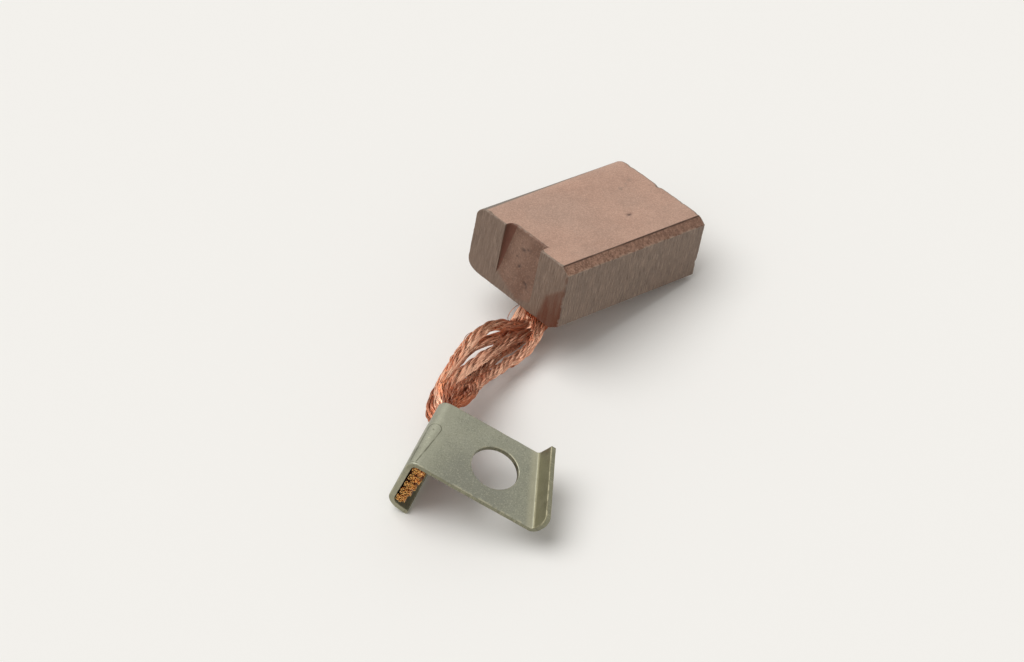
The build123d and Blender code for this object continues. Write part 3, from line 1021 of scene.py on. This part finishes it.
def block_paint():
    """Colour by face: ground grey-brown, pink top, rough brown bevel, red-brown groove."""
    paint = Paint("copper_graphite")
    place = paint.place(turn=BLOCK_TURN)
    cloud = paint.group(CLOUD, place, scale=260.0, detail=5.0)["Cloud"]
    patch = paint.group(CLOUD, place, scale=90.0, detail=3.0)["Cloud"]
    mottle = paint.group(CLOUD, place, scale=1500.0, detail=4.0)["Cloud"]
    grain = paint.group(GRAIN, place, scale=3600.0, spread=0.05)
    dust = paint.group(GRAIN, place, scale=5600.0, spread=0.02)
    pits = paint.group(PITS, place, scale=800.0, size=0.30, rarity=0.60)["Pit"]
    drawn, longer = (paint.stretch(place, (1.0, 1.0, scale)) for scale in (0.10, 0.25))
    lines = paint.group(GRAIN, drawn, scale=5200.0, spread=0.04)
    streak = paint.group(CLOUD, longer, scale=1100.0, detail=4.0)["Cloud"]
    masks = {label: paint.mask(label) for label in block_masks}

    # Painted reflection and shadow of the lead, streaked
    red = paint.both(masks["lead_reflection_shade"], paint.ramp(streak, 0.1, 0.8, 1.0, 0.75))
    ground = paint.layers(
        paint.mix(streak, (0.183, 0.130, 0.098), (0.226, 0.159, 0.118)),
        (lines["Light"], 0.75, (0.315, 0.232, 0.178)),
        (lines["Dark"], 0.70, (0.105, 0.072, 0.053)),
        (patch, 0.35, (0.205, 0.138, 0.102)),
        (masks["rear_end"], 0.30, (0.165, 0.102, 0.070)),
        # The lead's painted reflection and shadow in dark red-brown
        (red, 0.95, (0.118, 0.031, 0.011)),
        (masks["left_round"], 0.70, (0.165, 0.145, 0.118)),
    )
    pink = paint.layers(
        paint.mix(cloud, (0.440, 0.268, 0.197), (0.545, 0.337, 0.250)),
        (patch, 0.60, (0.410, 0.287, 0.226)),
        (mottle, 0.20, (0.39, 0.240, 0.175)),
        (dust["Light"], 0.38, (0.64, 0.425, 0.325)),
        (dust["Dark"], 0.38, (0.32, 0.200, 0.146)),
        (grain["Dark"], 0.30, (0.31, 0.192, 0.140)),
        (paint.both(masks["scratch"], paint.ramp(mottle, 0.2, 0.7)), 0.45, (0.26, 0.190, 0.150)),
    )
    brown = paint.layers(
        paint.mix(mottle, (0.165, 0.082, 0.051), (0.320, 0.178, 0.118)),
        (grain["Light"], 0.50, (0.46, 0.288, 0.200)),
        (grain["Dark"], 0.62, (0.075, 0.034, 0.021)),
        (masks["along_share"], 0.38, (0.120, 0.056, 0.035)),
    )
    floor_tone = paint.layers(
        paint.mix(cloud, (0.158, 0.080, 0.051), (0.245, 0.143, 0.100)),
        (grain["Light"], 0.40, (0.34, 0.216, 0.156)),
        (grain["Dark"], 0.45, (0.085, 0.042, 0.030)),
    )

    worn = paint.both(masks["rim"], paint.ramp(mottle, 0.3, 0.8))
    # Painted highlight along the foot of the right bevel
    foot_highlight = paint.both(masks["bevel_foot"], paint.ramp(mottle, 0.25, 0.7))
    # Painted shade in the step at the top of the right bevel
    step_shade = paint.both(masks["step_line"], paint.ramp(cloud, 0.1, 0.6, 0.45, 1.0))
    # Painted shade in the small pits and the deep pits
    small_pits = paint.both(pits, paint.math("MULTIPLY_ADD", masks["groove"], 0.5, 0.25))
    deep_pits = paint.both(masks["deep_pit"], paint.ramp(mottle, 0.0, 0.5, 0.45, 1.0))
    body = paint.layers(
        paint.mix(masks["groove"], ground, floor_tone),
        # Painted shade on the groove's left wall
        (masks["groove_wall"], 0.85, (0.125, 0.040, 0.022)),
        (masks["under_face"], 0.8, (0.34, 0.222, 0.165)),
        (masks["right_bevel"], 1.0, brown),
        (masks["top_face"], 1.0, pink),
        (worn, 0.40, (0.30, 0.255, 0.205)),
        (foot_highlight, 0.50, (0.38, 0.290, 0.220)),
        (step_shade, 0.85, (0.070, 0.032, 0.020)),
        (paint.math("MAXIMUM", small_pits, deep_pits), 0.9, (0.045, 0.025, 0.020)),
    )
    roughness = paint.ramp(grain["Height"], 0.2, 0.8, 0.44, 0.68)
    rough = paint.math("MAXIMUM", masks["right_bevel"], masks["groove"])
    crumbs = paint.both(grain["Height"], paint.math("MULTIPLY_ADD", rough, 0.75, 0.25))
    bumps = [(lines["Height"], 0.18, 0.00003), (crumbs, 0.7, 0.00008), (pits, 0.4, -0.0001)]
    return paint.finish(body, roughness, 0.35, bumps)


block.data.materials.append(block_paint())
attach(block, "root")
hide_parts("brush_block")
print("block dressed")

# %% [markdown]
# ## Tamped powder
#
# Copper powder is rammed round the lead in its bore. Only its rough ring shows from below, so the
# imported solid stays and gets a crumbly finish.

# %% Mix the tamped powder


def powder_paint():
    """Dark red-brown crumbs: a cloud of two tones with bright specks and deep bumps."""
    paint = Paint("tamped_copper_powder")
    place = paint.place()
    cloud = paint.group(CLOUD, place, scale=900.0, detail=5.0)["Cloud"]
    grain = paint.group(GRAIN, place, scale=3600.0, spread=0.08)
    body = paint.layers(
        paint.mix(cloud, (0.12, 0.055, 0.035), (0.33, 0.165, 0.105)),
        (grain["Light"], 0.7, (0.62, 0.33, 0.22)),
    )
    bumps = [(cloud, 0.6, 0.00025), (grain["Height"], 0.5, 0.00008)]
    return paint.finish(body, paint.ramp(cloud, 0.0, 1.0, 0.55, 0.85), 0.45, bumps)


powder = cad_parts["tamped_powder"]
powder.data.materials.clear()
powder.data.materials.append(powder_paint())
print("powder dressed")

# %% [markdown]
# ## The terminal's shape
#
# The terminal is one strip of plated steel: a plate with a hole, a fold that is squeezed over the
# strands, and a flange turned up along a skewed line. It is drawn as it is made. A flat blank is
# laid out as rays from the hole to the outline, and a formula then folds the blank.

# %% Measures of the blank
SHEET = 0.8
STRIP_HALF = 5.65
HOLE_RADIUS = 3.2
WALL_FROM_HOLE = 10.2
SHOULDER_RADIUS = 1.5
FOOT_RADIUS = 2.0
FOLD_HEIGHT = 10.15
LIP_LENGTH = 3.15
LIP_SLOPE = np.radians(6.0)
FLANGE_FROM_HOLE = 5.75
FLANGE_SKEW = np.radians(18.4)
FLANGE_ANGLE = np.radians(66.0)
FLANGE_BEND = 0.5
FLANGE_LENGTH = 1.95
FLANGE_CORNER = 1.2
HOLE_PLACE = np.array([-19.62, -10.01, 6.9402])
TERMINAL_HEADING = np.radians(-63.2)
TERMINAL_PITCH = np.radians(22.7)

half_sheet = SHEET / 2
shoulder_mid = SHOULDER_RADIUS - half_sheet
foot_mid = FOOT_RADIUS - half_sheet
bend_mid = FLANGE_BEND + half_sheet
foot_turn = np.pi / 2 - LIP_SLOPE
foot_reach = FOOT_RADIUS * np.tan(foot_turn / 2)
shoulder_at = -(WALL_FROM_HOLE - SHOULDER_RADIUS)
wall_length = FOLD_HEIGHT - SHOULDER_RADIUS - foot_reach
lip_flat = LIP_LENGTH - foot_reach
shoulder_flat = shoulder_mid * np.pi / 2
foot_flat = foot_mid * foot_turn
blank_end = shoulder_at - shoulder_flat - wall_length - foot_flat - lip_flat
flange_flat = bend_mid * FLANGE_ANGLE + FLANGE_LENGTH
skew_out = np.array([np.cos(FLANGE_SKEW), np.sin(FLANGE_SKEW)])
skew_along = np.array([-np.sin(FLANGE_SKEW), np.cos(FLANGE_SKEW)])
blank_tip = FLANGE_FROM_HOLE + flange_flat
print("blank from", round(float(blank_end), 2), "to", round(float(blank_tip), 2), "mm")

# %% Outline of the blank
OUTLINE_STEPS = 560
RAY_STEPS = 84

near_bend = np.array([FLANGE_FROM_HOLE + STRIP_HALF * np.tan(FLANGE_SKEW), -STRIP_HALF])
far_bend = np.array([FLANGE_FROM_HOLE - STRIP_HALF * np.tan(FLANGE_SKEW), STRIP_HALF])
near_tip = near_bend + skew_out * flange_flat
far_tip = far_bend + skew_out * flange_flat
corner_turns = np.linspace(0.0, np.pi / 2, 9)
corner_centre = near_tip - skew_out * FLANGE_CORNER + skew_along * FLANGE_CORNER
near_corner = (corner_centre + FLANGE_CORNER * (np.sin(corner_turns)[:, None] * skew_out
                                               - np.cos(corner_turns)[:, None] * skew_along))
OUTLINE = np.concatenate([[[blank_end, -STRIP_HALF]], [near_bend], near_corner, [far_tip],
                          [far_bend], [[blank_end, STRIP_HALF]]])
CLOSED = np.concatenate([OUTLINE, OUTLINE[:1]])


def around_outline(count):
    """Points an equal way apart round the closed outline, with its corners kept exactly."""
    way = np.concatenate([[0.0], np.cumsum(np.linalg.norm(np.diff(CLOSED, axis=0), axis=1))])
    even = np.linspace(0.0, way[-1], count, endpoint=False)
    nearest = np.abs(even[:, None] - way[None, :-1]).argmin(axis=0)
    even[nearest] = way[:-1]
    even = np.sort(even)
    return np.stack([np.interp(even, way, CLOSED[:, k]) for k in range(2)], -1)


def edge_distance(points):
    """Distance of flat points from the outline, by its nearest straight piece, and the hole."""
    start, run = CLOSED[:-1], np.diff(CLOSED, axis=0)
    reach = points[..., None, :] - start
    t = np.clip((reach * run).sum(-1) / (run * run).sum(-1), 0.0, 1.0)
    outer = np.linalg.norm(reach - t[..., None] * run, axis=-1).min(-1)
    return outer, np.linalg.norm(points, axis=-1) - HOLE_RADIUS


rim = around_outline(OUTLINE_STEPS)
hole_rim = unit(rim) * HOLE_RADIUS
ray_share = crowded(0.0, 1.0, RAY_STEPS, 0.38)
blank = hole_rim[None] + (rim - hole_rim)[None] * ray_share[:, None, None]
rim_gap, hole_gap = edge_distance(blank)
print("blank grid", blank.shape)

# %% Fold the blank


def folded(flat):
    """Middle surface and its upward direction after folding, in plate coordinates.

    Back from the shoulder line the strip turns a quarter round, runs down the wall, turns again
    into the lip and runs out. Past the skewed line it turns up by the flange angle.
    """
    s, v = flat[..., 0], flat[..., 1]
    back = np.maximum(shoulder_at - s, 0.0)
    turn_one = np.clip(back / shoulder_mid, 0.0, np.pi / 2)
    past_shoulder = back - shoulder_flat
    down = np.clip(past_shoulder, 0.0, wall_length)
    turn_two = np.clip((past_shoulder - wall_length) / foot_mid, 0.0, foot_turn)
    run_out = np.maximum(past_shoulder - wall_length - foot_flat, 0.0)
    heading = np.pi + turn_one + turn_two
    u = np.maximum(s, shoulder_at) - shoulder_mid * np.sin(turn_one)
    u = u + foot_mid * (1.0 - np.cos(turn_two)) + run_out * np.cos(LIP_SLOPE)
    n = -half_sheet - shoulder_mid * (1.0 - np.cos(turn_one)) - down
    n = n - foot_mid * np.sin(turn_two) - run_out * np.sin(LIP_SLOPE)

    beyond = np.maximum((s - FLANGE_FROM_HOLE) * skew_out[0] + v * skew_out[1], 0.0)
    lift = np.clip(beyond / bend_mid, 0.0, FLANGE_ANGLE)
    rise = np.maximum(beyond - bend_mid * FLANGE_ANGLE, 0.0)
    out_way = bend_mid * np.sin(lift) + rise * np.cos(FLANGE_ANGLE)
    up_way = bend_mid * (1.0 - np.cos(lift)) + rise * np.sin(FLANGE_ANGLE)
    moved = (out_way - beyond)[..., None] * skew_out
    lean = np.sin(lift)
    normal = np.stack([np.sin(heading) - lean * skew_out[0], -lean * skew_out[1],
                       -np.cos(heading) * np.cos(lift)], -1)
    return np.stack([u + moved[..., 0], v + moved[..., 1], n + up_way], -1), unit(normal)


def terminal_to_world(local):
    """Plate coordinates (away from the fold, across, out of it), in mm, to metres in the frame."""
    level = np.array([np.cos(TERMINAL_HEADING), np.sin(TERMINAL_HEADING), 0.0])
    across = np.array([-np.sin(TERMINAL_HEADING), np.cos(TERMINAL_HEADING), 0.0])
    upright = np.array([0.0, 0.0, 1.0])
    out_of = upright * np.cos(TERMINAL_PITCH) + level * np.sin(TERMINAL_PITCH)
    away = level * np.cos(TERMINAL_PITCH) - upright * np.sin(TERMINAL_PITCH)
    return (HOLE_PLACE + np.asarray(local) @ np.stack([away, across, out_of])) * MM


middle, normal = folded(blank)
flat_3d = np.concatenate([blank, np.zeros(blank.shape[:-1] + (1,))], -1)
print("folded height, mm:", round(float(np.ptp(middle[..., 2])), 2))

# %% [markdown]
# ## Sheet thickness and edges
#
# The sheet gets its thickness by moving the folded middle surface half a sheet out on each side.
# Punching rolls the upper edge over and leaves a burr on the lower one, so the two sides are
# rounded by different amounts before two bands of quads close the cut edges. The outline runs
# anticlockwise seen from above, so the grid's quads face down as they come: the lower side takes
# them so, and the upper side takes them reversed. The four rims between sides and bands are sharp.

# %% Thicken the sheet
ROLL_OVER = 0.14
BURR = 0.07

roll_over = ROLL_OVER + uneven(flat_3d, (0.05, 1.1, 21))
burr = BURR + uneven(flat_3d, (0.03, 0.7, 22))
edge_gap = np.minimum(rim_gap, hole_gap)
waves = uneven(flat_3d, (0.010, 3.1, 23), (0.004, 1.0, 24))
top_lift = half_sheet - rounding(edge_gap, roll_over) + waves
low_lift = -half_sheet + rounding(edge_gap, burr) + waves
top_side = middle + normal * top_lift[..., None]
low_side = middle + normal * low_lift[..., None]
print("sheet, mm:", round(float(np.median(top_lift - low_lift)), 2))

# %% Close the cut edges


def sharpen(piece, rims):
    """Mark each edge as sharp whose two ends carry the same rim number, where 0 is no rim."""
    edges = piece.data.edges
    ends = np.empty(2 * len(edges), dtype=np.int32)
    edges.foreach_get("vertices", ends)
    first, second = rims[ends.reshape(-1, 2)].T
    sharp = np.empty(len(edges), dtype=bool)
    edges.foreach_get("use_edge_sharp", sharp)
    edges.foreach_set("use_edge_sharp", sharp | ((first == second) & (first > 0)))


ray_count, ring_size = blank.shape[:2]
side_count = ray_count * ring_size
side_quads = grid_quads(ray_count, ring_size, wrap=True)
ring = np.arange(ring_size)
next_ring = (ring + 1) % ring_size
outer = (ray_count - 1) * ring_size
outer_band = np.stack([outer + ring, outer + side_count + ring,
                       outer + side_count + next_ring, outer + next_ring], -1)
hole_band = np.stack([ring, next_ring, side_count + next_ring, side_count + ring], -1)
strip_quads = np.concatenate([side_quads[:, ::-1], side_quads + side_count, outer_band, hole_band])
cut_faces = np.arange(len(strip_quads)) >= 2 * len(side_quads)
strip_points = np.concatenate([top_side.reshape(-1, 3), low_side.reshape(-1, 3)])
rim_numbers = np.zeros((2, ray_count, ring_size), dtype=np.int32)
rim_numbers[:, [0, -1]] = np.array([[1, 2], [3, 4]])[..., None]
edge_mask = bell(np.maximum(edge_gap, 0.0), 0.12)
strip_masks = {
    "blank_place": np.stack([flat_3d, flat_3d]), "edge": np.stack([edge_mask, edge_mask]),
    "top_side": np.stack([np.ones_like(edge_mask), np.zeros_like(edge_mask)]),
}
terminal = surface_object("terminal_strip", terminal_to_world(strip_points), strip_quads.tolist(),
                          strip_masks, sharp_angle=40.0, face_paint=cut_faces.astype(np.int32))
sharpen(terminal, rim_numbers.ravel())
print("terminal:", len(strip_points), "points,", int(cut_faces.sum()), "faces on cut edges")

# %% [markdown]
# ## Press marks and painted light
#
# The closing tool has left a thin drop-shaped line on the shoulder. A painted highlight runs along
# the bend up to a sharp crease, the flange past it gets painted shade, and the shoulder gets painted
# light; one more mask is darker towards the near edge and away from the fold. Such lines are finer
# than the mesh, so a node group works them out from each point's place on the flat blank, in
# millimetres.

# %% Build the group for the press marks
MARK_HEAD = (-9.1, 1.0)
MARK_TAIL = (-9.5, -5.2)
MARK_HALF_WIDTHS = (0.72, 0.33)
MARK_DOT = (-9.2, 0.75)
BURR_LINE = -5.36
CREASE = (0.34, 0.46)


def build_strip_group():
    """Masks on the blank: painted highlight on bend and shoulder, painted shade on the flange, a
    darker area, the fold, lines.

    The mark is the set of points whose distance from a sloping middle line equals a half-width
    that shrinks from head to tail; past the head the distance is from the head's middle.
    """
    tools, enter, leave = new_group(
        "strip_marks", {}, ["Band", "Flange_Shade", "Shoulder_Light", "Darker_Area", "Fold", "Lines"])
    parts = tools.add("ShaderNodeSeparateXYZ", vector=enter["Vector"]).outputs
    s, v = parts["X"], parts["Y"]

    def sums(operation, *values):
        """One math node that isn't held to 0..1."""
        return tools.math(operation, *values, clamp=False)

    def between(value, low, lower, upper, high):
        """1 from lower to upper, falling to 0 at low and at high."""
        return tools.both(tools.ramp(value, low, lower), tools.ramp(value, upper, high, 1.0, 0.0))

    def length(first, second):
        """Length of the arrow with these two parts."""
        squares = sums("ADD", sums("MULTIPLY", first, first), sums("MULTIPLY", second, second))
        return sums("SQRT", squares)

    past = sums("MULTIPLY_ADD", v, float(skew_out[1]), -FLANGE_FROM_HOLE * float(skew_out[0]))
    past = sums("MULTIPLY_ADD", s, float(skew_out[0]), past)
    # Painted highlight along the bend up to the crease
    tools.join(between(past, -1.1, -0.2, *CREASE), leave["Band"])
    # Painted shade on the flange, which faces away from the light
    tools.join(tools.ramp(past, *CREASE), leave["Flange_Shade"])
    # Painted light on the shoulder bend, which faces the light
    tools.join(between(s, -10.8, -9.4, -8.4, -6.8), leave["Shoulder_Light"])
    tools.join(tools.ramp(s, -9.2, -8.2, 1.0, 0.0), leave["Fold"])
    # Darker towards the near edge and away from the fold
    darker_area = tools.both(tools.ramp(v, -4.5, 3.5, 1.0, 0.25), tools.ramp(s, -8.0, -4.0))
    tools.join(tools.both(darker_area, tools.ramp(s, 1.5, 5.5, 1.0, 0.35)), leave["Darker_Area"])

    fall = MARK_HEAD[1] - MARK_TAIL[1]
    wide, narrow = MARK_HALF_WIDTHS
    t = tools.math("MULTIPLY_ADD", v, -1.0 / fall, MARK_HEAD[1] / fall)
    centre = sums("MULTIPLY_ADD", t, MARK_TAIL[0] - MARK_HEAD[0], MARK_HEAD[0])
    half = sums("MULTIPLY_ADD", t, narrow - wide, wide)
    ahead_of_head = sums("MAXIMUM", sums("SUBTRACT", v, MARK_HEAD[1]), 0.0)
    from_middle = length(sums("SUBTRACT", s, centre), ahead_of_head)
    gap = sums("ABSOLUTE", sums("SUBTRACT", from_middle, half))
    drop = tools.both(tools.ramp(gap, 0.02, 0.11, 1.0, 0.0), tools.ramp(v, -5.3, -5.1))
    burr_gap = sums("ABSOLUTE", sums("SUBTRACT", v, BURR_LINE))
    at_shoulder = between(s, -10.5, -10.3, -9.0, -8.8)
    burr_line = tools.both(tools.ramp(burr_gap, 0.02, 0.10, 1.0, 0.0), at_shoulder)
    from_dot = length(sums("SUBTRACT", v, MARK_DOT[1]), sums("SUBTRACT", s, MARK_DOT[0]))
    dot = tools.ramp(from_dot, 0.05, 0.17, 1.0, 0.0)
    lines = tools.math("MAXIMUM", drop, burr_line)
    tools.join(tools.math("MAXIMUM", lines, dot), leave["Lines"])
    return tools.tree


STRIP = build_strip_group()
print("press mark from", MARK_HEAD, "to", MARK_TAIL, "mm on the blank")

# %% [markdown]
# ## Plated steel
#
# The plating is a dull grey with a touch of olive and bluish patches, darker towards the near edge
# and away from the fold. It has tiny bright specks, yellowish nicks along its edges, and the press
# marks. Painted light lies over it: a highlight on the bend, light on the shoulder, and shade on the
# flange and inside the fold. The cut edges are bare, so they take a second material with lines across
# the sheet.

# %% Mix the plating


def plate_paint():
    """Dull plated metal: cloudy grey-olive, nicked edges, dark lines, painted highlight and painted
    shade.
    """
    paint = Paint("dull_plating")
    place = paint.place()
    marks = paint.group(STRIP, paint.mask("blank_place", "Vector"))
    cloud = paint.group(CLOUD, place, scale=150.0, detail=4.0)["Cloud"]
    fine = paint.group(CLOUD, place, scale=900.0, detail=5.0)["Cloud"]
    grain = paint.group(GRAIN, place, scale=5600.0, spread=0.05)
    specks = paint.group(PITS, place, scale=1900.0, size=0.26, rarity=0.665)["Pit"]
    top = paint.mask("top_side")
    # Painted shade on the inner faces of the fold
    inside = paint.both(marks["Fold"], paint.math("SUBTRACT", 1.0, top))
    nicks = paint.both(paint.mask("edge"), paint.ramp(fine, 0.35, 0.65))
    lines = paint.both(paint.both(marks["Lines"], top), paint.ramp(fine, 0.1, 0.5, 0.5, 1.0))
    body = paint.layers(
        paint.mix(cloud, (0.280, 0.282, 0.215), (0.355, 0.355, 0.275)),
        # Darker towards the near edge and away from the fold
        (paint.both(marks["Darker_Area"], top), 0.75, (0.205, 0.205, 0.168)),
        (fine, 0.30, (0.235, 0.240, 0.205)),
        (grain["Dark"], 0.45, (0.165, 0.163, 0.120)),
        (grain["Light"], 0.45, (0.45, 0.445, 0.345)),
        # Painted light on the shoulder
        (paint.both(marks["Shoulder_Light"], top), 0.30, (0.40, 0.40, 0.31)),
        # Painted highlight along the bend
        (paint.both(marks["Band"], top), 0.55, (0.45, 0.43, 0.31)),
        # Painted shade on the flange
        (marks["Flange_Shade"], 0.75, (0.200, 0.180, 0.105)),
        (specks, 0.85, (0.85, 0.81, 0.58)),
        # Painted shade inside the fold
        (inside, 0.70, (0.115, 0.105, 0.055)),
        (nicks, 0.50, (0.52, 0.48, 0.33)),
        (lines, 0.75, (0.10, 0.098, 0.065)),
    )
    bumps = [(fine, 0.15, 0.00006), (grain["Height"], 0.18, 0.00003), (lines, 0.3, -0.00006)]
    return paint.finish(body, paint.ramp(fine, 0.0, 1.0, 0.36, 0.54), 0.85, bumps)


def cut_paint():
    """Sheared edge: olive with short lines across the sheet, dark burrs and bright chips."""
    paint = Paint("sheared_edge")
    place = paint.place()
    blank_place = paint.stretch(paint.mask("blank_place", "Vector"), (MM, MM, MM))
    fine = paint.group(CLOUD, place, scale=1100.0, detail=4.0)["Cloud"]
    tears = paint.group(GRAIN, blank_place, scale=4200.0, spread=0.06)
    at_fold = paint.ramp(paint.add("ShaderNodeSeparateXYZ", vector=blank_place).outputs["X"],
                         -0.012, -0.009, 1.0, 0.0)
    body = paint.layers(
        paint.mix(fine, (0.200, 0.195, 0.130), (0.270, 0.262, 0.185)),
        (at_fold, 0.65, (0.38, 0.365, 0.265)),
        (tears["Dark"], 0.40, (0.10, 0.095, 0.060)),
        (tears["Light"], 0.30, (0.48, 0.45, 0.32)),
    )
    roughness = paint.ramp(fine, 0.0, 1.0, 0.36, 0.58)
    return paint.finish(body, roughness, 0.85, [(tears["Height"], 0.5, 0.00006)])


terminal.data.materials.append(plate_paint())
terminal.data.materials.append(cut_paint())
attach(terminal, "root")
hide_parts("terminal")
print("terminal dressed")
